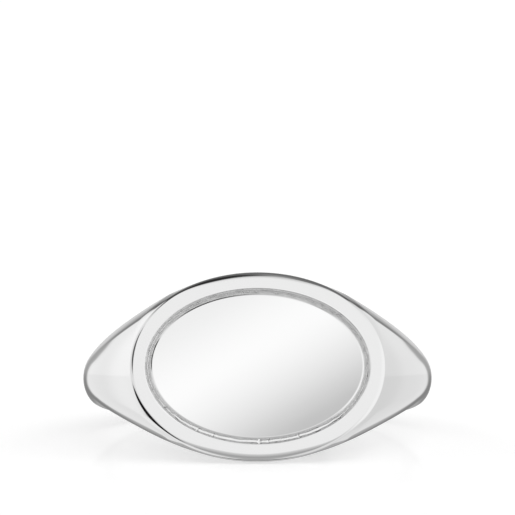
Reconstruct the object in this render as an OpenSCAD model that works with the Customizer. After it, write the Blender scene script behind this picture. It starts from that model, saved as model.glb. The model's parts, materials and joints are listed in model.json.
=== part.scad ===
// Oval signet ring lying on its side, as it rests on a table.
//
// Each piece is drawn in the ring's own frame: the finger axis is Z, the finger's centre is the
// origin and the face looks along -Y. at_rest() then lays the ring back until the head's lower
// edge and the back of the band both touch the table.

/* [Finger size] */
// Inside diameter of the ring
bore_d = 17.3; // [15:0.1:20]

/* [Band] */
// Thickness at the back of the band
back_t = 1.3; // [1:0.05:1.6]
// Thickness at the sides of the band
side_t = 1.75; // [1.4:0.05:2.2]
// Width at the back of the band
back_w = 3; // [2.4:0.1:3.8]
// Width at the sides of the band
side_w = 3.9; // [3.2:0.1:4.4]
// Radius of the rounded outside of the band
crown_r = 2; // [1.98:0.01:2.4]

/* [Head] */
// Metal between the finger and the deck that carries the frame
deck_t = 1.25; // [0.9:0.05:1.8]
// Size of the head along the finger
head_w = 11.1; // [10.8:0.1:12]
// Radius of the head's top and bottom edges, seen from the front
head_arc_r = 10.7; // [10:0.1:12]
// Distance from the middle of the head to where the shoulders would meet the deck
shoulder_x = 7.75; // [7.7:0.05:8.2]
// Radius of the rounded corner between deck and shoulder
shoulder_r = 0.6; // [0.3:0.05:0.6]
// Radius of the shoulders' crown, along the finger
flank_crown_r = 8; // [7:0.5:12]
// Height of the head's straight edge below the deck
edge_t = 0.8; // [0.4:0.05:0.9]
// Depth at which the hollow under the head runs into the band's side
hollow_y = -2; // [-3:0.1:-1]

/* [Bezel frame] */
// Length of the frame across the finger
frame_l = 14.78; // [14:0.02:14.9]
// Width of the frame along the finger
frame_w = 10.6; // [10.2:0.02:10.8]
// Height of the frame above the deck
frame_h = 0.7; // [0.5:0.05:1]
// Radius of the frame's outer top edge
frame_edge_r = 0.26; // [0.1:0.01:0.35]
// Length of the well inside the frame
well_l = 13.08; // [12.8:0.02:13.2]
// Width of the well inside the frame
well_w = 9.06; // [8.8:0.02:9.2]

/* [Face plate] */
// Length of the plate across the finger
plate_l = 12.4; // [12:0.02:12.5]
// Width of the plate along the finger
plate_w = 8.34; // [8:0.02:8.4]
// Width of the bevel round the plate's top edge
plate_bevel = 0.14; // [0.05:0.01:0.2]
// How far the plate's top lies below the frame's top
plate_drop = 0.03; // [0:0.01:0.2]

/* [Solder] */
// Thickness of the solder under the frame and under the plate
solder_t = 0.05; // [0.04:0.01:0.1]
// Depth of the solder that fills the gap round the plate
seam_h = 0.34; // [0.1:0.02:0.5]

/* [Hidden] */
$fn = 128;

bore_r = bore_d / 2;
outer_r = bore_r + side_t;      // outside of the band, about its own centre
band_y = back_t - side_t;       // that centre lies this far in front of the finger's
tip_x = outer_r - crown_r;      // centre of the crown's arc
deck_y = bore_r + deck_t;
frame_top = deck_y + frame_h;
plate_top = frame_top - plate_drop;
overlap = 1;                    // how far a cutting shape runs past what it cuts
far = 3 * outer_r;

// The shoulders, seen from above: an arc that leaves the band's side square to it and would
// meet the deck at shoulder_x.
corner_dx = outer_r - shoulder_x;
corner_dy = deck_y + band_y;
flank_r = (corner_dx * corner_dx + corner_dy * corner_dy) / (2 * corner_dx);
flank_x = outer_r - flank_r;

// The rounded corner between deck and shoulder.
corner_y = deck_y - shoulder_r;
corner_x = flank_x + sqrt(pow(flank_r, 2) - pow(corner_y + band_y, 2)) - shoulder_r + 0.01;

// The outline seen from the front: an arc over the head and a round tip at the band's crown,
// joined by a straight line. The line runs sink inside both arcs, so that they cross instead of
// only touching.
sink = 0.01;
head_drop = head_arc_r - head_w / 2;
line_a = atan2(head_drop, tip_x) + acos((head_arc_r - crown_r) / norm([tip_x, head_drop]));
line_start = (head_arc_r - sink) * [cos(line_a), sin(line_a)] - [0, head_drop];
line_end = (crown_r - sink) * [cos(line_a), sin(line_a)] + [tip_x, 0];

// The outline seen from the side: the head's straight edge, a hollow arc and the band's side,
// which narrows evenly to the heel, where it meets the crown at the back.
edge_y = -(deck_y - edge_t);
heel_y = tip_x + band_y + sqrt(pow(crown_r, 2) - pow(back_w / 2, 2));
taper = atan((side_w - back_w) / 2 / (heel_y - hollow_y));
hollow_dy = hollow_y - edge_y;
hollow_dz = head_w / 2 - side_w / 2;
hollow_r = (pow(hollow_dy, 2) + pow(hollow_dz, 2))
    / (2 * (hollow_dz * cos(taper) - hollow_dy * sin(taper)));
hollow_centre = [hollow_y, side_w / 2] + hollow_r * [sin(taper), cos(taper)];

// The pose at rest, solved for the two lowest points: the rear end of the head's straight edge
// and the heel.
rest_tilt = atan((head_w - back_w) / 2 / (heel_y - edge_y));
rest_lift = head_w / 2 * cos(rest_tilt) + edge_y * sin(rest_tilt);
frontmost = frame_edge_r + (frame_top - frame_edge_r) * cos(rest_tilt)
    + (frame_w / 2 - frame_edge_r) * sin(rest_tilt);
rearmost = (tip_x + band_y) * cos(rest_tilt) + crown_r;
rest_y = (frontmost - rearmost) / 2;

// Lays the ring back on the table, with the middle of its footprint at the origin.
module at_rest() {
    translate([0, rest_y, rest_lift]) rotate([-rest_tilt, 0, 0]) children();
}

// Turns a shape drawn flat, with +Z out of the face, to look along -Y.
module on_face() {
    rotate([90, 0, 0]) children();
}

// An oval block, cut flat at both ends. Below its top it can be bevelled all round.
module oval(length, width, height, bevel = 0) {
    intersection() {
        scale([length / width, 1, 1]) {
            if (bevel == 0) {
                translate([0, 0, -overlap]) cylinder(d = width, h = height + 2 * overlap);
            } else {
                translate([0, 0, -overlap]) cylinder(d = width, h = height - bevel + overlap);
                translate([0, 0, height - bevel])
                    cylinder(d1 = width, d2 = width - 4 * bevel, h = 2 * bevel);
            }
        }
        translate([-length, -length, 0]) cube([2 * length, 2 * length, height]);
    }
}

// A disc about the finger's direction, whose outside is rounded by an arc of radius crown.
module crowned_disc(radius, crown) {
    rotate_extrude() {
        intersection() {
            translate([radius - crown, 0]) circle(crown);
            translate([radius - crown, -crown]) square([crown, 2 * crown]);
        }
        translate([0, -crown]) square([radius - crown, 2 * crown]);
    }
}

// The head and shoulders seen from the front.
module front_outline() {
    intersection_for (side = [-1, 1]) translate([0, side * head_drop]) circle(head_arc_r);
    for (side = [-1, 1]) {
        translate([side * tip_x, 0]) circle(crown_r);
        polygon([[0, 0],
            [side * line_start[0], line_start[1]], [side * line_end[0], line_end[1]],
            [side * line_end[0], -line_end[1]], [side * line_start[0], -line_start[1]]]);
    }
}

// The front half: crowned flanks between the deck and the band's sides.
module shoulders_and_head() {
    intersection() {
        intersection_for (side = [-1, 1])
            translate([side * flank_x, band_y, 0]) crowned_disc(flank_r, flank_crown_r);
        rotate([90, 0, 0]) translate([0, 0, -band_y]) linear_extrude(deck_y + band_y)
            front_outline();
        union() {
            translate([-corner_x, -deck_y, -head_w]) cube([2 * corner_x, far, 2 * head_w]);
            translate([-far, -corner_y, -head_w]) cube([2 * far, far, 2 * head_w]);
            for (side = [-1, 1])
                translate([side * corner_x, -corner_y, -head_w])
                    cylinder(r = shoulder_r, h = 2 * head_w);
        }
    }
}

// The rear half: a band with a crowned outside.
module band_back() {
    intersection() {
        translate([0, band_y, 0]) crowned_disc(outer_r, crown_r);
        translate([-far, band_y, -far]) cube([2 * far, far, 2 * far]);
    }
}

// What the hollows under the head and the band's sides leave, seen from the side.
module side_outline() {
    difference() {
        translate([-deck_y - overlap, -head_w]) square([far, 2 * head_w]);
        for (side = [-1, 1]) scale([1, side]) {
            translate(hollow_centre) circle(hollow_r + sink);
            translate([hollow_y, side_w / 2]) rotate(-taper) square([far, 2 * head_w]);
        }
    }
}

// Band, shoulders and head, cast in one piece.
module shank() {
    color([0.86, 0.86, 0.87]) at_rest() difference() {
        intersection() {
            union() {
                shoulders_and_head();
                band_back();
            }
            rotate([90, 0, 90]) translate([0, 0, -far]) linear_extrude(2 * far) side_outline();
        }
        translate([0, 0, -head_w]) cylinder(r = bore_r, h = 2 * head_w);
    }
}

// Thin film of solder that holds the frame on the deck.
module frame_solder() {
    color([0.7, 0.7, 0.71]) at_rest() on_face() translate([0, 0, deck_y]) difference() {
        oval(frame_l, frame_w, solder_t);
        translate([0, 0, -overlap]) oval(well_l, well_w, solder_t + 2 * overlap);
    }
}

// Raised oval frame round the plate, with a rounded outer edge.
module bezel_frame() {
    height = frame_h - solder_t;
    color([0.92, 0.92, 0.93]) at_rest() on_face() translate([0, 0, deck_y + solder_t]) {
        difference() {
            scale([frame_l / frame_w, 1, 1]) difference() {
                cylinder(d = frame_w, h = height);
                rotate_extrude()
                    translate([frame_w / 2 - frame_edge_r, height - frame_edge_r]) difference() {
                        square(overlap);
                        circle(frame_edge_r);
                    }
            }
            translate([0, 0, -overlap]) oval(well_l, well_w, height + 2 * overlap);
        }
    }
}

// Solder under the plate and in the gap round it.
module plate_solder() {
    color([0.6, 0.6, 0.61]) at_rest() on_face() translate([0, 0, deck_y]) difference() {
        oval(well_l, well_w, seam_h);
        translate([0, 0, solder_t]) oval(plate_l, plate_w, seam_h);
    }
}

// Polished oval plate for an engraving, with a bevelled edge.
module face_plate() {
    color([0.97, 0.97, 0.97]) at_rest() on_face() translate([0, 0, deck_y + solder_t])
        oval(plate_l, plate_w, plate_top - deck_y - solder_t, plate_bevel);
}

shank();
frame_solder();
bezel_frame();
plate_solder();
face_plate();
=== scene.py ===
"""Polished silver signet ring on a pale table, lit for its mirror surfaces."""

import json
import math

import bpy
import numpy as np
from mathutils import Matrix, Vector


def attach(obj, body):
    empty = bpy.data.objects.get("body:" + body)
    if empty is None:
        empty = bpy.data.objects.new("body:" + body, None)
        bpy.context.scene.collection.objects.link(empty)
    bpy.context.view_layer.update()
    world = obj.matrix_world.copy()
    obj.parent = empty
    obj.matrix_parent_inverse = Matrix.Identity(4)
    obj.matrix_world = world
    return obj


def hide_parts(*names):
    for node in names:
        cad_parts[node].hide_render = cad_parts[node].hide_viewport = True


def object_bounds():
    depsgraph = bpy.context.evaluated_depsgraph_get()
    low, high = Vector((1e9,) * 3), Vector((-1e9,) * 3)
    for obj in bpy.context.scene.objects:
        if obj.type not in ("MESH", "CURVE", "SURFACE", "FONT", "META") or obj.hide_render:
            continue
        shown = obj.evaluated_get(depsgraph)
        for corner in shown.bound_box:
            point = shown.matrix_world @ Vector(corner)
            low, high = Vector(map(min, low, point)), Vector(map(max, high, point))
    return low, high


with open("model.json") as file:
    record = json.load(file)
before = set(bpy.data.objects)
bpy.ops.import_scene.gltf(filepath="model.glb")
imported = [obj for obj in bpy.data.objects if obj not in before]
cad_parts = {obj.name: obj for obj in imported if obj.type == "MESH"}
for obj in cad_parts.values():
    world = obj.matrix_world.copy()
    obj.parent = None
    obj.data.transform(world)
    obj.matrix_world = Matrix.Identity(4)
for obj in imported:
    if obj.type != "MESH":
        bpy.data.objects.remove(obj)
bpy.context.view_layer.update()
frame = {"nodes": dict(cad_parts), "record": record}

# ---------------------------------------------------------------- the ring's own frame, in mm
#
# The finger's centre is the origin and the finger axis is Z. X runs across the face, which looks
# along -Y.

BORE = next(m for m in frame["record"]["mounts"] if m["name"] == "finger_bore")
ORIGIN = np.array(BORE["pos_m"])
FINGER = np.array(BORE["axis"]) / np.linalg.norm(BORE["axis"])
ACROSS = np.array([1.0, 0.0, 0.0])
BACK = np.cross(FINGER, ACROSS)
AXES = np.array([ACROSS, BACK, FINGER])


def to_row(points):
    """From the ring's own frame, in mm, to the row's frame, in metres."""
    return ORIGIN + np.asarray(points) @ AXES / 1000


def directions_to_row(vectors):
    """Directions in the row's frame, from those in the ring's own frame."""
    return np.asarray(vectors) @ AXES


def extent(node):
    """Lowest and highest corner of a CAD node in the ring's own frame, in mm."""
    vertices = np.array([v.co for v in frame["nodes"][node].data.vertices])
    own = (vertices - ORIGIN) @ AXES.T * 1000
    return own.min(0), own.max(0)


shank_low, shank_high = extent("shank")
frame_low, frame_high = extent("bezel_frame")
plate_low, plate_high = extent("face_plate")
_, seam_high = extent("plate_solder")

BORE_R = BORE["dims"]["r_mm"]
OUTER_R = shank_high[0]  # outside of the band, about its own centre
BAND_Y = shank_high[1] - OUTER_R  # where that centre lies
DECK = -shank_low[1]  # the head's flat front, which carries frame and plate
HEAD_HALF = shank_high[2]
FRAME_TOP = -frame_low[1]
PLATE_TOP = -plate_low[1]

# Half lengths and half widths of the ovals. The frame's is a little longer than in the CAD, and
# the plate fills the well a little more.
OVAL = np.array([frame_high[0], frame_high[2]]) + np.array([0.1, -0.06])
WELL = np.array([seam_high[0], seam_high[2]])
PLATE = np.array([plate_high[0], plate_high[2]]) + np.array([0.03, 0.08])

# ---------------------------------------------------------------- sizes of the form, in mm

# Seen from above: the shoulders are arcs that would meet the deck at SHOULDER_X.
SHOULDER_X = 7.75

# The rounded outside: its radius grows from the band to the head, between two distances in front
# of the finger's centre, and near the deck it gets flatter than an arc.
CROWN_BAND = 2.3
CROWN_HEAD = 6.734
CROWN_FROM, CROWN_TO = 1.857, 10.034
FLATTER = 0.237
FLATTER_FROM, FLATTER_TO = 4.0, 9.25

# The frame's wall leans out by this much per mm of depth. At the oval's upper and lower ends it
# is steeper, and the oval is larger there.
WALL_LEAN = 0.95
END_STEEPER = 0.8
END_LARGER = 0.24
END_FROM, END_TO = 0.3, 0.85
WALL_BLEND = 0.25

# Seen from the front: an arc over the head and a round tip at the side, joined by a line.
HEAD_ARC_R = 10.0
TIP_R = 2.024
OUTLINE_OUT = 0.02
SHOULDER_OUT = 0.252
SHOULDER_FROM, SHOULDER_TO = 3.0, 7.0
TIP_OUT = 0.3
TIP_FROM, TIP_TO = 9.4, 10.4
EDGE_HEAD = 0.13  # radius of the edge along that outline at the head
EDGE_MORE = 0.6  # and how much larger it is at the shoulders

# Seen from the side: the head's straight edge, a hollow arc and a band that narrows to the heel.
EDGE_T = 0.8
HOLLOW_Y = -1.748
SIDE_HALF = 2.05
BACK_HALF = 1.5
SIDE_ROUND = 0.589

BORE_ROUND = 0.18
DECK_ROUND = 0.02
FILM = 0.05  # solder under the plate

corner_dx = OUTER_R - SHOULDER_X
corner_dy = DECK + BAND_Y
FLANK_R = (corner_dx**2 + corner_dy**2) / (2 * corner_dx)
FLANK_X = OUTER_R - FLANK_R

TIP_X = OUTER_R - TIP_R
HEAD_DROP = HEAD_ARC_R - HEAD_HALF
LINE_A = math.atan2(HEAD_DROP, TIP_X) + math.acos(
    (HEAD_ARC_R - TIP_R) / math.hypot(TIP_X, HEAD_DROP)
)
LINE_X = HEAD_ARC_R * math.cos(LINE_A)
LINE_Z = HEAD_ARC_R * math.sin(LINE_A) - HEAD_DROP

EDGE_Y = -(DECK - EDGE_T)
HEEL_Y = OUTER_R - CROWN_BAND + BAND_Y + math.sqrt(CROWN_BAND**2 - BACK_HALF**2)
TAPER = math.atan((SIDE_HALF - BACK_HALF) / (HEEL_Y - HOLLOW_Y))
hollow_dy = HOLLOW_Y - EDGE_Y
hollow_dz = HEAD_HALF - SIDE_HALF
HOLLOW_R = (hollow_dy**2 + hollow_dz**2) / (
    2 * (hollow_dz * math.cos(TAPER) - hollow_dy * math.sin(TAPER))
)
HOLLOW_CENTRE_Y = HOLLOW_Y + HOLLOW_R * math.sin(TAPER)
HOLLOW_CENTRE_Z = SIDE_HALF + HOLLOW_R * math.cos(TAPER)

# ---------------------------------------------------------------- fields: negative inside

TINY = 1e-6


def smoothstep(x, low, high):
    """0 below low, 1 above high, and a smooth rise between them."""
    t = np.clip((x - low) / (high - low), 0, 1)
    return t * t * (3 - 2 * t)


def unit(vectors):
    """The same directions, each one long."""
    return vectors / np.maximum(np.linalg.norm(vectors, axis=-1, keepdims=True), TINY**2)


def rounded_and(a, b, radius):
    """Where both fields are negative, with the edge between them rounded."""
    return np.minimum(-radius, np.maximum(a, b)) + np.hypot(
        np.maximum(a + radius, 0), np.maximum(b + radius, 0)
    )


def oval_distance(u, v, half_u, half_v):
    """About the distance outside an oval, negative within."""
    ratio = np.maximum(np.hypot(u / half_u, v / half_v), TINY)
    return (ratio - 1) * ratio / np.maximum(np.hypot(u / half_u**2, v / half_v**2), TINY)


def end_share(x, z):
    """0 at the sides of the oval, 1 at its upper and lower ends."""
    side, end = (x / OVAL[0]) ** 2, (z / OVAL[1]) ** 2
    return end / np.maximum(side + end, TINY)


def plan_field(x, y):
    """Signed distance to the outline seen from above, without the deck."""
    front = np.hypot(np.abs(x) - FLANK_X, y - BAND_Y) - FLANK_R
    rear = np.hypot(x, y - BAND_Y) - OUTER_R
    return np.where(y < BAND_Y, front, rear)


def wall_field(x, y, z):
    """The frame's leaning wall, carried on below the deck."""
    at_end = smoothstep(end_share(x, z), END_FROM, END_TO)
    reach = (FRAME_TOP + y) * (WALL_LEAN - END_STEEPER * at_end) + END_LARGER * at_end
    return oval_distance(x, z, *OVAL) - reach


def front_field(x, z, at_shoulder):
    """The outline seen from the front, for x and z from 0 up."""
    arc = np.hypot(x, z + HEAD_DROP) - HEAD_ARC_R
    line = (x - LINE_X) * math.cos(LINE_A) + (z - LINE_Z) * math.sin(LINE_A)
    tip = np.hypot(x - TIP_X, z) - TIP_R
    outline = np.where(x < LINE_X + (z - LINE_Z) / math.tan(LINE_A), arc, line)
    past_line = (x - TIP_X) * math.sin(LINE_A) - z * math.cos(LINE_A) > 0
    outline = np.where(past_line, tip, outline)
    at_tip = smoothstep(x, TIP_FROM, TIP_TO)
    return outline - OUTLINE_OUT - SHOULDER_OUT * at_shoulder - TIP_OUT * at_tip


def side_field(y, z):
    """The outline seen from the side, for z from 0 up."""
    hollow = HOLLOW_R - np.hypot(y - HOLLOW_CENTRE_Y, z - HOLLOW_CENTRE_Z)
    taper = (z - SIDE_HALF) * math.cos(TAPER) + (y - HOLLOW_Y) * math.sin(TAPER)
    return np.where(y < HOLLOW_Y, hollow, taper)


def form_field(p):
    """The solid form that shank and frame share, about a distance in mm."""
    x, y, z = p[..., 0], p[..., 1], np.abs(p[..., 2])
    across = np.abs(x)
    crown = CROWN_BAND + (CROWN_HEAD - CROWN_BAND) * smoothstep(-y, CROWN_FROM, CROWN_TO)
    squeeze = 1 + FLATTER * smoothstep(-y, FLATTER_FROM, FLATTER_TO)
    depth = np.maximum(plan_field(x, y) / squeeze + crown, 0)
    barrel = np.hypot(depth, z) - crown
    form = rounded_and(barrel, wall_field(x, y, z), WALL_BLEND)
    at_shoulder = smoothstep(across, SHOULDER_FROM, SHOULDER_TO)
    outline = front_field(across, z, at_shoulder)
    form = rounded_and(form, outline, EDGE_HEAD + EDGE_MORE * at_shoulder)
    return rounded_and(form, side_field(y, z), SIDE_ROUND)


def shank_field(p):
    """The form below the deck, round the finger's bore."""
    body = rounded_and(form_field(p), -p[..., 1] - DECK, DECK_ROUND)
    return rounded_and(body, BORE_R - np.hypot(p[..., 0], p[..., 1]), BORE_ROUND)


def collar_field(p):
    """The form above the deck, round the well. Its top leans outward a little.

    It reaches a hair below the deck, so that the joint does not show."""
    top_lean, rim_width = 0.085, 0.85
    side_edge, end_edge, well_edge = 0.12, 0.26, 0.05
    below_deck, sink = 0.12, 0.1
    well = oval_distance(p[..., 0], p[..., 2], *WELL)
    top = -p[..., 1] - FRAME_TOP + top_lean * np.clip(well / rim_width, 0, 1.2) ** 1.2
    outside = form_field(p) + sink * np.maximum(p[..., 1] + DECK, 0)
    edge = side_edge + end_edge * smoothstep(end_share(p[..., 0], p[..., 2]), 0.5, 0.95)
    body = rounded_and(outside, top, edge)
    body = rounded_and(body, -well, well_edge)
    return np.maximum(body, DECK - below_deck + p[..., 1])


# ---------------------------------------------------------------- meshes over the fields

JOINT = 0.03  # points this close to the deck are at the joint between shank and frame


def find_surface(field, start, reach, halvings=34):
    """The point on each segment from start (inside) to start + reach (outside)."""
    low = np.zeros(start.shape[:-1])
    high = np.ones(start.shape[:-1])
    for _ in range(halvings):
        mid = (low + high) / 2
        inside = field(start + mid[..., None] * reach) < 0
        low = np.where(inside, mid, low)
        high = np.where(inside, high, mid)
    return start + ((low + high) / 2)[..., None] * reach


def field_normals(field, points, step=1e-3):
    """Outward normals of the field's surface."""
    grads = []
    for axis in range(3):
        offset = np.zeros(3)
        offset[axis] = step
        grads.append(field(points + offset) - field(points - offset))
    return unit(np.stack(grads, -1))


def joined_normals(field, points, at_joint):
    """Normals of the field, but of the whole form at the joint, so that it does not show."""
    whole = field_normals(form_field, points)
    return np.where(at_joint[..., None], whole, field_normals(field, points))


def grid_mesh(name, points, normals, close_v=True, caps=()):
    """A smooth closed mesh over a grid of points, shaded with the surface's true normals.

    The grid closes on itself along its first direction. Each cap is (column, centre, normal)."""
    nu, nv = points.shape[:2]
    index = np.arange(nu * nv).reshape(nu, nv)
    index = np.vstack([index, index[:1]])
    if close_v:
        index = np.hstack([index, index[:, :1]])
    quads = np.stack([index[:-1, :-1], index[1:, :-1], index[1:, 1:], index[:-1, 1:]], -1)
    quads = quads.reshape(-1, 4)
    flat, shading = points.reshape(-1, 3), normals.reshape(-1, 3)
    diagonals = [flat[quads[:, 2]] - flat[quads[:, 0]], flat[quads[:, 3]] - flat[quads[:, 1]]]
    flip = (np.cross(*diagonals) * shading[quads[:, 0]]).sum() < 0
    if flip:
        quads = quads[:, ::-1]
    faces = quads.tolist()
    for column, centre, normal in caps:
        ring = index[:, column]
        hub = np.full(nu, len(flat))
        first, second = ring[:-1], ring[1:]
        if (column == 0) == flip:
            first, second = second, first
        faces += np.stack([hub, second, first], -1).tolist()
        flat = np.vstack([flat, [centre]])
        shading = np.vstack([shading, [normal]])
    mesh = bpy.data.meshes.new(name)
    mesh.from_pydata(to_row(flat).tolist(), [], faces)
    mesh.validate()
    mesh.shade_smooth()
    mesh.normals_split_custom_set_from_vertices(directions_to_row(shading).tolist())
    obj = bpy.data.objects.new(name, mesh)
    bpy.context.scene.collection.objects.link(obj)
    return obj


def full_turn(count):
    """Angles spread evenly over a full turn, without the last one."""
    return np.linspace(0, 2 * np.pi, count, endpoint=False)


def shank_angles(count):
    """Angles round the finger, from the middle of the head, close together where it turns."""
    at_corner, corner_width = 2.5, 0.09  # extra density at the shoulders' corners
    in_front, front_half = 0.6, 1.6  # and over the front half
    fine = np.linspace(0, 2 * np.pi, 20001)
    off = np.abs(np.where(fine > np.pi, 2 * np.pi - fine, fine))
    corner = math.atan2(SHOULDER_X, DECK)
    peak = np.exp(-(((off - corner) / corner_width) ** 2))
    weight = 1 + at_corner * peak + in_front * (off < front_half)
    steps = np.concatenate([[0], np.cumsum((weight[1:] + weight[:-1]) / 2)])
    wanted = np.linspace(0, steps[-1], count, endpoint=False)
    return np.interp(wanted, steps, fine)


def build_shank(along=500, round_section=196):
    """Band, shoulders and head: closed sections, set all the way round the finger."""
    angles = shank_angles(along)
    out = np.stack([np.sin(angles), -np.cos(angles), np.zeros_like(angles)], -1)
    in_metal, past_metal, above = 0.5, 6, 8.0
    rim = find_surface(shank_field, out * (BORE_R + in_metal), out * past_metal)
    outer = np.linalg.norm(rim, axis=-1)
    middle = out * ((outer + BORE_R) / 2)[:, None]
    up = np.zeros_like(middle)
    up[:, 2] = above
    half = find_surface(shank_field, middle, up)[:, 2]
    turn = full_turn(round_section)
    # Wide sections get more points near their corners than an even turn would give them.
    power = 1 - 0.45 * smoothstep(half, 2.0, 5.0)
    outward, upward = (
        (np.sign(wave) * np.abs(wave) ** power[:, None])[..., None]
        for wave in (np.cos(turn)[None, :], np.sin(turn)[None, :])
    )
    thick = out * ((outer - BORE_R) / 2)[:, None]
    high = np.stack([0 * half, 0 * half, half], -1)
    past_corners = 2.2
    reach = past_corners * (outward * thick[:, None] + upward * high[:, None])
    points = find_surface(shank_field, np.broadcast_to(middle[:, None], reach.shape), reach)
    normals = joined_normals(shank_field, points, points[..., 1] < JOINT - DECK)
    return grid_mesh("shank_body", points, normals)


def build_frame(along=480, round_section=120):
    """The collar round the plate, whose outside carries on the line of the shoulders."""
    in_wall, past_wall, skin = 0.36, 1.6, 0.05
    angle = full_turn(along)
    core = WELL + in_wall
    level = np.full_like(angle, -(DECK + FRAME_TOP) / 2)
    middle = np.stack([core[0] * np.cos(angle), level, core[1] * np.sin(angle)], -1)
    flat = np.zeros_like(angle)
    outward = unit(np.stack([np.cos(angle) / core[0], flat, np.sin(angle) / core[1]], -1))
    up = np.array([0.0, -1.0, 0.0])
    turn = full_turn(round_section)[None, :, None]
    reach = past_wall * (np.cos(turn) * outward[:, None] + np.sin(turn) * up)
    points = find_surface(collar_field, np.broadcast_to(middle[:, None], reach.shape), reach)
    at_joint = (points[..., 1] > -DECK - JOINT) & (form_field(points) > -skin)
    normals = joined_normals(collar_field, points, at_joint)
    return grid_mesh("bezel_frame_collar", points, normals)


# ---------------------------------------------------------------- plate and solder


def rounded_path(corners, radii, step):
    """An open path through corners, each rounded to its radius: points and outward normals.

    The outward side is to the left of the direction of travel."""
    corners = [np.array(c, float) for c in corners]
    points, normals = [], []
    for i, corner in enumerate(corners):
        if i in (0, len(corners) - 1):
            other = corners[1] if i == 0 else corners[-2]
            along = unit(other - corner) if i == 0 else unit(corner - other)
            points.append(corner)
            normals.append(np.array([-along[1], along[0]]))
            continue
        before, after = unit(corner - corners[i - 1]), unit(corners[i + 1] - corner)
        turn = math.atan2(before[0] * after[1] - before[1] * after[0], before @ after)
        side = 1 if turn > 0 else -1
        first = corner - radii[i] * abs(math.tan(turn / 2)) * before
        centre = first + side * radii[i] * np.array([-before[1], before[0]])
        steps = max(4, int(abs(turn) * radii[i] / step), int(abs(turn) / 0.12))
        for k in range(steps + 1):
            cos, sin = math.cos(turn * k / steps), math.sin(turn * k / steps)
            spun = (before[0] * cos - before[1] * sin, before[0] * sin + before[1] * cos)
            normal = np.array([-spun[1], spun[0]])
            points.append(centre - side * radii[i] * normal)
            normals.append(normal)
    return np.array(points), np.array(normals)


def build_plate(along=360):
    """The polished plate: very slightly domed, with a fine bevel."""
    sag, bevel, bevel_drop = 0.045, 0.1, 0.039
    crease, crease_drop = 0.01, 0.002  # the rounded step between the top and its bevel
    rings = np.concatenate([np.linspace(0.03, 0.96, 24), np.linspace(0.97, 0.995, 3)])
    edge = PLATE - bevel
    angle = full_turn(along)
    cos, sin = np.cos(angle), np.sin(angle)
    level = np.broadcast_to(PLATE_TOP - sag * rings**2, (along, len(rings)))
    top = np.stack([np.outer(cos, rings) * edge[0], -level, np.outer(sin, rings) * edge[1]], -1)
    slope = 2 * sag * rings
    up = -np.ones((along, len(rings)))
    top_normals = np.stack(
        [np.outer(cos, slope) / edge[0], up, np.outer(sin, slope) / edge[1]], -1
    )
    rim_top = PLATE_TOP - sag
    path, path_normals = rounded_path(
        [
            (0.0, rim_top),
            (crease, rim_top - crease_drop),
            (bevel - crease, rim_top - bevel_drop),
            (bevel, DECK + FILM),
            (0.0, DECK + FILM),
        ],
        radii=[0, 0.01, 0.03, 0.03, 0],
        step=0.004,
    )
    outward = unit(np.stack([cos / PLATE[0], sin / PLATE[1]], -1))[:, None]
    flat = np.stack([cos * edge[0], sin * edge[1]], -1)[:, None] + path[None, :, :1] * outward
    sideways = path_normals[None, :, :1] * outward
    rim, rim_normals = (
        np.stack([plan[..., 0], -np.broadcast_to(up_by, plan.shape[:2]), plan[..., 1]], -1)
        for plan, up_by in ((flat, path[:, 1]), (sideways, path_normals[:, 1]))
    )
    points = np.concatenate([top, rim], 1)
    normals = np.concatenate([unit(top_normals), unit(rim_normals)], 1)
    caps = [(0, (0, -PLATE_TOP, 0), (0, -1, 0)), (-1, (0, -DECK - FILM, 0), (0, 1, 0))]
    return grid_mesh("face_plate_disc", points, normals, close_v=False, caps=caps)


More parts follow.
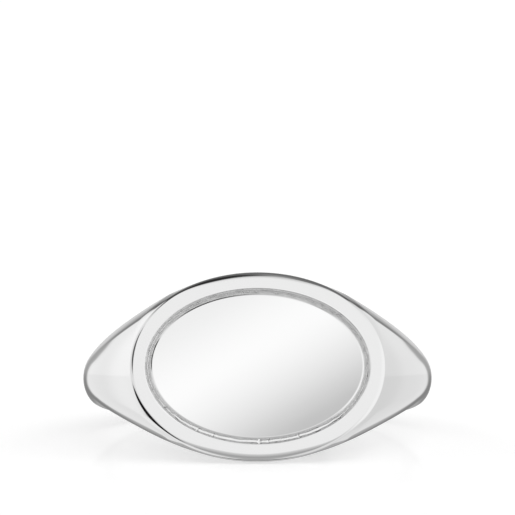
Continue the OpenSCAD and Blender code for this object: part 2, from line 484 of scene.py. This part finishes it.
def build_seam(along=1440, across=25):
    """The solder in the gap: a rough bead, dressed flat on the lower side, with small nicks."""
    bed = DECK + 0.36
    bead, ripple, nick, spread = 0.16, 0.03, 0.06, 0.24  # where it is rough
    flat_bed, flat_bead, flat_ripple, flat_spread = 0.12, 0.075, 0.02, 0.36  # where it is dressed
    overlap, wander = 0.01, 0.06
    rng = np.random.default_rng(7)
    angle = full_turn(along)
    share = np.linspace(0, 1, across)
    inner, outer = PLATE - overlap, WELL + overlap
    uneven = np.zeros(along)
    sideways = np.zeros(along)
    for waves in range(7, 90, 4):
        uneven += rng.normal() * np.cos(waves * angle + rng.uniform(0, 6.28)) * waves**-0.5
        sideways += rng.normal() * np.cos(waves * angle + rng.uniform(0, 6.28)) * waves**-0.5
    uneven /= np.abs(uneven).max()
    sideways /= np.abs(sideways).max()
    nicks = np.zeros(along)
    for spot in rng.uniform(0, 2 * np.pi, 34):
        off = (angle - spot + np.pi) % (2 * np.pi) - np.pi
        nicks += rng.uniform(0.2, 1) * np.exp(-((off / rng.uniform(0.004, 0.012)) ** 2))
    crest = 0.5 + wander * sideways
    off_crest = np.abs(share[None, :] - crest[:, None])
    uneven, nicks = uneven[:, None], np.minimum(nicks, 1)[:, None]
    rough_shape = np.exp(-((off_crest / spread) ** 2))
    rough = (bead + ripple * uneven - nick * nicks) * rough_shape
    flat_shape = np.exp(-((off_crest / flat_spread) ** 4))
    dressed = (flat_bead + flat_ripple * uneven - nick * nicks) * flat_shape + flat_bed
    low_side = smoothstep(-np.sin(angle), 0.35, 0.85)[:, None]
    level = bed + rough + (dressed - rough) * low_side
    flat = inner + share[None, :, None] * (outer - inner)
    x, z = flat[..., 0] * np.cos(angle)[:, None], flat[..., 1] * np.sin(angle)[:, None]
    points = np.stack([x, -level, z], -1)
    lengthwise = np.roll(points, -1, 0) - np.roll(points, 1, 0)
    normals = unit(np.cross(lengthwise, np.gradient(points, axis=1)))
    normals *= -np.sign(normals[..., 1:2])
    foot = points[:, [-1, 0]]
    foot[..., 1] = -DECK
    down = np.broadcast_to([0.0, 1.0, 0.0], foot.shape)
    points, normals = np.concatenate([points, foot], 1), np.concatenate([normals, down], 1)
    return grid_mesh("plate_solder_bead", points, normals)


shank = build_shank()
collar = build_frame()
plate = build_plate()
seam = build_seam()

pieces = [
    (shank, "shank", "shank_silver"),
    (collar, "bezel_frame", "frame_silver"),
    (plate, "face_plate", "plate_silver"),
    (seam, "plate_solder", "solder_seam"),
]
for piece, node, slot in pieces:
    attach(piece, "root")
    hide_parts(node)

# ---------------------------------------------------------------- materials

# Tone, roughness, grain in mm, unevenness of the gloss and depth of the hairlines in micrometres
FINISHES = {
    "shank_silver": (0.78, 0.05, 2.0, 0.4, 0.3),
    "frame_silver": (0.78, 0.09, 1.6, 0.4, 0.3),
    "plate_silver": (0.78, 0.03, 2.5, 0.4, 0.06),
    "solder_seam": (0.8, 0.2, 0.3, 0.5, 2.0),
    "frame_solder": (0.7, 0.3, 0.3, 0.5, 2.0),
}


def silver(name):
    """Polished silver: gloss varies in soft patches and fine hairlines follow the polishing."""
    tone, roughness, grain_mm, unevenness, bump_um = FINISHES[name]
    material = bpy.data.materials.new(name)
    material.use_nodes = True
    tree = material.node_tree
    shader = tree.nodes["Principled BSDF"]
    shader.inputs["Base Color"].default_value = (tone, tone, tone, 1)
    shader.inputs["Metallic"].default_value = 1
    place = tree.nodes.new("ShaderNodeTexCoord")
    stretch = tree.nodes.new("ShaderNodeMapping")
    stretch.inputs["Scale"].default_value = (0.15, 1, 1)
    patches = tree.nodes.new("ShaderNodeTexNoise")
    patches.inputs["Scale"].default_value = 1000 / grain_mm
    patches.inputs["Detail"].default_value = 4
    hairlines = tree.nodes.new("ShaderNodeTexNoise")
    hairlines.inputs["Scale"].default_value = 6000 / grain_mm
    hairlines.inputs["Detail"].default_value = 3
    gloss = tree.nodes.new("ShaderNodeMapRange")
    gloss.inputs["From Min"].default_value = 0.3
    gloss.inputs["From Max"].default_value = 0.7
    gloss.inputs["To Min"].default_value = roughness * (1 - unevenness)
    gloss.inputs["To Max"].default_value = roughness * (1 + unevenness)
    bump = tree.nodes.new("ShaderNodeBump")
    bump.inputs["Strength"].default_value = 1
    bump.inputs["Distance"].default_value = bump_um * 1e-6
    for source, target in (
        (place.outputs["Object"], patches.inputs["Vector"]),
        (place.outputs["Object"], stretch.inputs["Vector"]),
        (stretch.outputs["Vector"], hairlines.inputs["Vector"]),
        (patches.outputs["Fac"], gloss.inputs["Value"]),
        (gloss.outputs["Result"], shader.inputs["Roughness"]),
        (hairlines.outputs["Fac"], bump.inputs["Height"]),
        (bump.outputs["Normal"], shader.inputs["Normal"]),
    ):
        tree.links.new(source, target)
    return material


for piece, _, slot in pieces:
    piece.data.materials.append(silver(slot))
film = frame["nodes"]["frame_solder"]
film.data.materials.clear()
film.data.materials.append(silver("frame_solder"))

# ---------------------------------------------------------------- table

low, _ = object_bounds()
bpy.ops.mesh.primitive_plane_add(size=2, location=(0, 0, low.z))
floor = bpy.context.object
floor.name = "floor"
floor.visible_glossy = False
white = bpy.data.materials.new("floor_white")
white.use_nodes = True
floor_nodes, floor_links = white.node_tree.nodes, white.node_tree.links
matt = floor_nodes["Principled BSDF"]
matt.inputs["Base Color"].default_value = (0.75, 0.75, 0.75, 1)
matt.inputs["Roughness"].default_value = 1
matt.inputs["Specular IOR Level"].default_value = 0
matt.inputs["Emission Color"].default_value = (1, 1, 1, 1)
matt.inputs["Emission Strength"].default_value = 0.5
mirror = floor_nodes.new("ShaderNodeBsdfGlossy")
mirror.inputs["Roughness"].default_value = 0.06
blend = floor_nodes.new("ShaderNodeMixShader")
blend.inputs["Fac"].default_value = 0.07
floor_links.new(matt.outputs[0], blend.inputs[1])
floor_links.new(mirror.outputs[0], blend.inputs[2])
floor_links.new(blend.outputs[0], floor_nodes["Material Output"].inputs["Surface"])
floor.data.materials.append(white)

# ---------------------------------------------------------------- the room that the ring mirrors

world = bpy.data.worlds.new("light_tent")
world.use_nodes = True
bpy.context.scene.world = world
links = world.node_tree.links
nodes = world.node_tree.nodes
DEGREES = 180 / math.pi


def feed(sockets, values):
    """Sets each socket to a number, or links it to another node's output."""
    for socket, value in zip(sockets, values):
        if isinstance(value, (int, float)):
            socket.default_value = value
        else:
            links.new(value, socket)


def math_node(operation, *values):
    """The result of a Math node over the values."""
    node = nodes.new("ShaderNodeMath")
    node.operation = operation
    feed(node.inputs, values)
    return node.outputs[0]


def mix(factor, first, second):
    """first where factor is 0, second where it is 1."""
    node = nodes.new("ShaderNodeMix")
    node.data_type = "FLOAT"
    feed((node.inputs[0], node.inputs[2], node.inputs[3]), (factor, first, second))
    return node.outputs[0]


def ramp(value, stops):
    """A smooth curve through (position, level) stops."""
    start = stops[0][0]
    span = stops[-1][0] - start
    node = nodes.new("ShaderNodeFloatCurve")
    curve = node.mapping.curves[0]
    node.mapping.extend = "HORIZONTAL"
    top = max(level for _, level in stops)
    for i, (position, level) in enumerate(stops):
        x = (position - start) / span
        if i < 2:
            curve.points[i].location = (x, level / top)
        else:
            curve.points.new(x, level / top)
    for point in curve.points:
        point.handle_type = "AUTO_CLAMPED"
    node.mapping.update()
    scaled = math_node("MULTIPLY", math_node("SUBTRACT", value, start), 1 / span)
    links.new(math_node("MAXIMUM", math_node("MINIMUM", scaled, 1), 0), node.inputs["Value"])
    return math_node("MULTIPLY", node.outputs[0], top)


sky = nodes.new("ShaderNodeTexCoord")
split = nodes.new("ShaderNodeSeparateXYZ")
links.new(sky.outputs["Generated"], split.inputs[0])
dx, dy, dz = split.outputs
azimuth = math_node("MULTIPLY", math_node("ARCTAN2", dx, dy), DEGREES)
height = math_node("MULTIPLY", math_node("ARCSINE", dz), DEGREES)
from_back = math_node("ABSOLUTE", azimuth)


def card(card_azimuth, card_height, inner, outer):
    """1 within inner degrees of a direction, fading to 0 at outer degrees."""
    a, h = math.radians(card_azimuth), math.radians(card_height)
    aim = (math.sin(a) * math.cos(h), math.cos(a) * math.cos(h), math.sin(h))
    dot = nodes.new("ShaderNodeVectorMath")
    dot.operation = "DOT_PRODUCT"
    links.new(sky.outputs["Generated"], dot.inputs[0])
    dot.inputs[1].default_value = aim
    angle = math_node("MULTIPLY", math_node("ARCCOSINE", dot.outputs["Value"]), DEGREES)
    return ramp(angle, [(0, 1), (inner, 1), (outer, 0), (180, 0)])


# Straight behind the ring the room is dim; bright screens stand on both sides of that gap, which
# gets wider with height and closes over the ring as a dark ceiling.
behind = ramp(height, [
    (-90, 0.42), (-60, 0.42), (-48, 0.45), (-30, 0.74), (-24, 0.68), (-18, 0.42), (-12, 0.42),
    (-6, 0.66), (0, 0.71), (6, 0.61), (12, 0.47), (18, 0.43), (24, 0.34), (36, 0.18), (48, 0.14),
    (60, 0.2), (72, 0.18), (84, 0.36), (90, 0.38),
])
gap_half = ramp(height, [
    (-90, 17), (-60, 17), (-48, 14), (-36, 14), (-30, 16), (-12, 18), (-6, 21), (0, 31), (6, 35),
    (12, 35), (24, 37), (30, 39), (36, 44), (42, 50), (48, 60), (54, 78), (60, 120), (66, 180),
    (90, 180),
])
screens = ramp(height, [
    (-90, 0.6), (-60, 0.95), (-48, 0.92), (-24, 0.93), (-12, 0.94), (-8, 0.94), (-7, 1.0),
    (0, 1.01), (12, 1.03), (36, 1.03), (44, 1.0), (50, 0.9), (56, 0.5), (61, 0.16), (72, 0.14),
    (90, 0.38),
])
tint = ramp(azimuth, [
    (-180, 1.04), (-120, 0.9), (-100, 0.9), (-78, 1.08), (-62, 1.13), (-40, 1.0), (-10, 1.0),
    (10, 0.95), (45, 0.95), (62, 0.88), (74, 0.88), (90, 1.0), (180, 1.04),
])
past_edge = math_node("SUBTRACT", from_back, gap_half)
screen_share = ramp(past_edge, [(-180, 0), (-5, 0), (-1, 0.15), (3, 0.85), (7, 1), (180, 1)])
screen_frame = ramp(past_edge, [(-180, 1), (-16, 1), (-7, 0.6), (-1, 0.6), (3, 1), (180, 1)])
level = mix(
    screen_share,
    math_node("MULTIPLY", behind, screen_frame),
    math_node("MULTIPLY", screens, tint),
)

# In front: a big soft screen, brightest a little above the horizon.
front = ramp(height, [
    (-90, 0.45), (-68, 0.5), (-53, 0.44), (-39, 0.56), (-25, 0.68), (-10, 0.85), (2, 1.06),
    (30, 1.07), (49, 0.95), (65, 0.77), (80, 0.56), (90, 0.38),
])
level = mix(ramp(from_back, [(0, 0), (128, 0), (154, 1), (180, 1)]), level, front)

# Black cards on the left draw the dark lines along frame and plate; one on the right is bright.
for place, tone in (
    ((-108, 70, 14, 30), 0.03),
    ((-129, 22, 9, 17), 0.12),
    ((-113, -32, 21, 30), 0.01),
    ((115, -5, 24, 45), 1.12),
):
    level = mix(card(*place), level, tone)

# The small patch that the flat plate mirrors: a slanted gradient.
PLATE_LOOKS_AT = 16.5  # height of that patch's middle
right = math_node("MULTIPLY", math_node("ARCTAN2", dx, math_node("MULTIPLY", dy, -1)), DEGREES)
slant = math_node("SUBTRACT", right, math_node("SUBTRACT", height, PLATE_LOOKS_AT))
gradient = ramp(slant, [
    (-9, 1.08), (-4, 1.1), (-3, 1.16), (-2, 1.22), (-1, 1.25), (0, 1.2), (1, 1.1), (2, 0.96),
    (3, 0.79), (4, 0.68), (6.5, 1.0), (9, 1.08),
])
patch = math_node(
    "MULTIPLY",
    ramp(math_node("SUBTRACT", 180, from_back), [(0, 1), (5.5, 1), (8, 0), (180, 0)]),
    ramp(height, [(-90, 0), (9, 0), (11.5, 1), (21.5, 1), (24, 0), (90, 0)]),
)
level = mix(patch, level, gradient)

# What the table's faint gloss mirrors, and what the camera sees, is white.
table_screen = math_node(
    "MULTIPLY",
    ramp(from_back, [(0, 1), (3.5, 1), (5, 0), (180, 0)]),
    ramp(height, [(-90, 0), (1, 0), (2.5, 1), (13, 1), (15, 0), (90, 0)]),
)
level = mix(table_screen, level, 1.0)
rays = nodes.new("ShaderNodeLightPath")
background = nodes["Background"]
background.inputs["Color"].default_value = (1, 1, 1, 1)
links.new(mix(rays.outputs["Is Camera Ray"], level, 1.0), background.inputs["Strength"])

# ---------------------------------------------------------------- lamp and camera

lamp_data = bpy.data.lights.new("overhead", "AREA")
lamp_data.shape = "DISK"
lamp_data.size = 1.2
lamp_data.energy = 1.25
lamp = bpy.data.objects.new("overhead", lamp_data)
lamp.location = (0, 0, 0.6)
lamp.visible_glossy = False
bpy.context.scene.collection.objects.link(lamp)

BELOW_FACE = 4.1  # degrees by which the camera looks from below the face's axis
AIM_ABOVE = 1.04  # degrees by which it aims above the finger's centre
DISTANCE = 0.4
tilt = math.degrees(math.atan2(FINGER[1], FINGER[2]))
elevation = math.radians(tilt - BELOW_FACE)
camera_data = bpy.data.cameras.new("camera")
camera_data.lens = 468
camera_data.sensor_width = 36
camera_data.clip_start = 0.01
camera_data.clip_end = 10
camera = bpy.data.objects.new("camera", camera_data)
camera.location = (
    0,
    ORIGIN[1] - DISTANCE * math.cos(elevation),
    ORIGIN[2] + DISTANCE * math.sin(elevation),
)
camera.rotation_euler = (math.radians(90) - (elevation - math.radians(AIM_ABOVE)), 0, 0)
bpy.context.scene.collection.objects.link(camera)
bpy.context.scene.camera = camera

bpy.context.scene.view_settings.view_transform = "Standard"
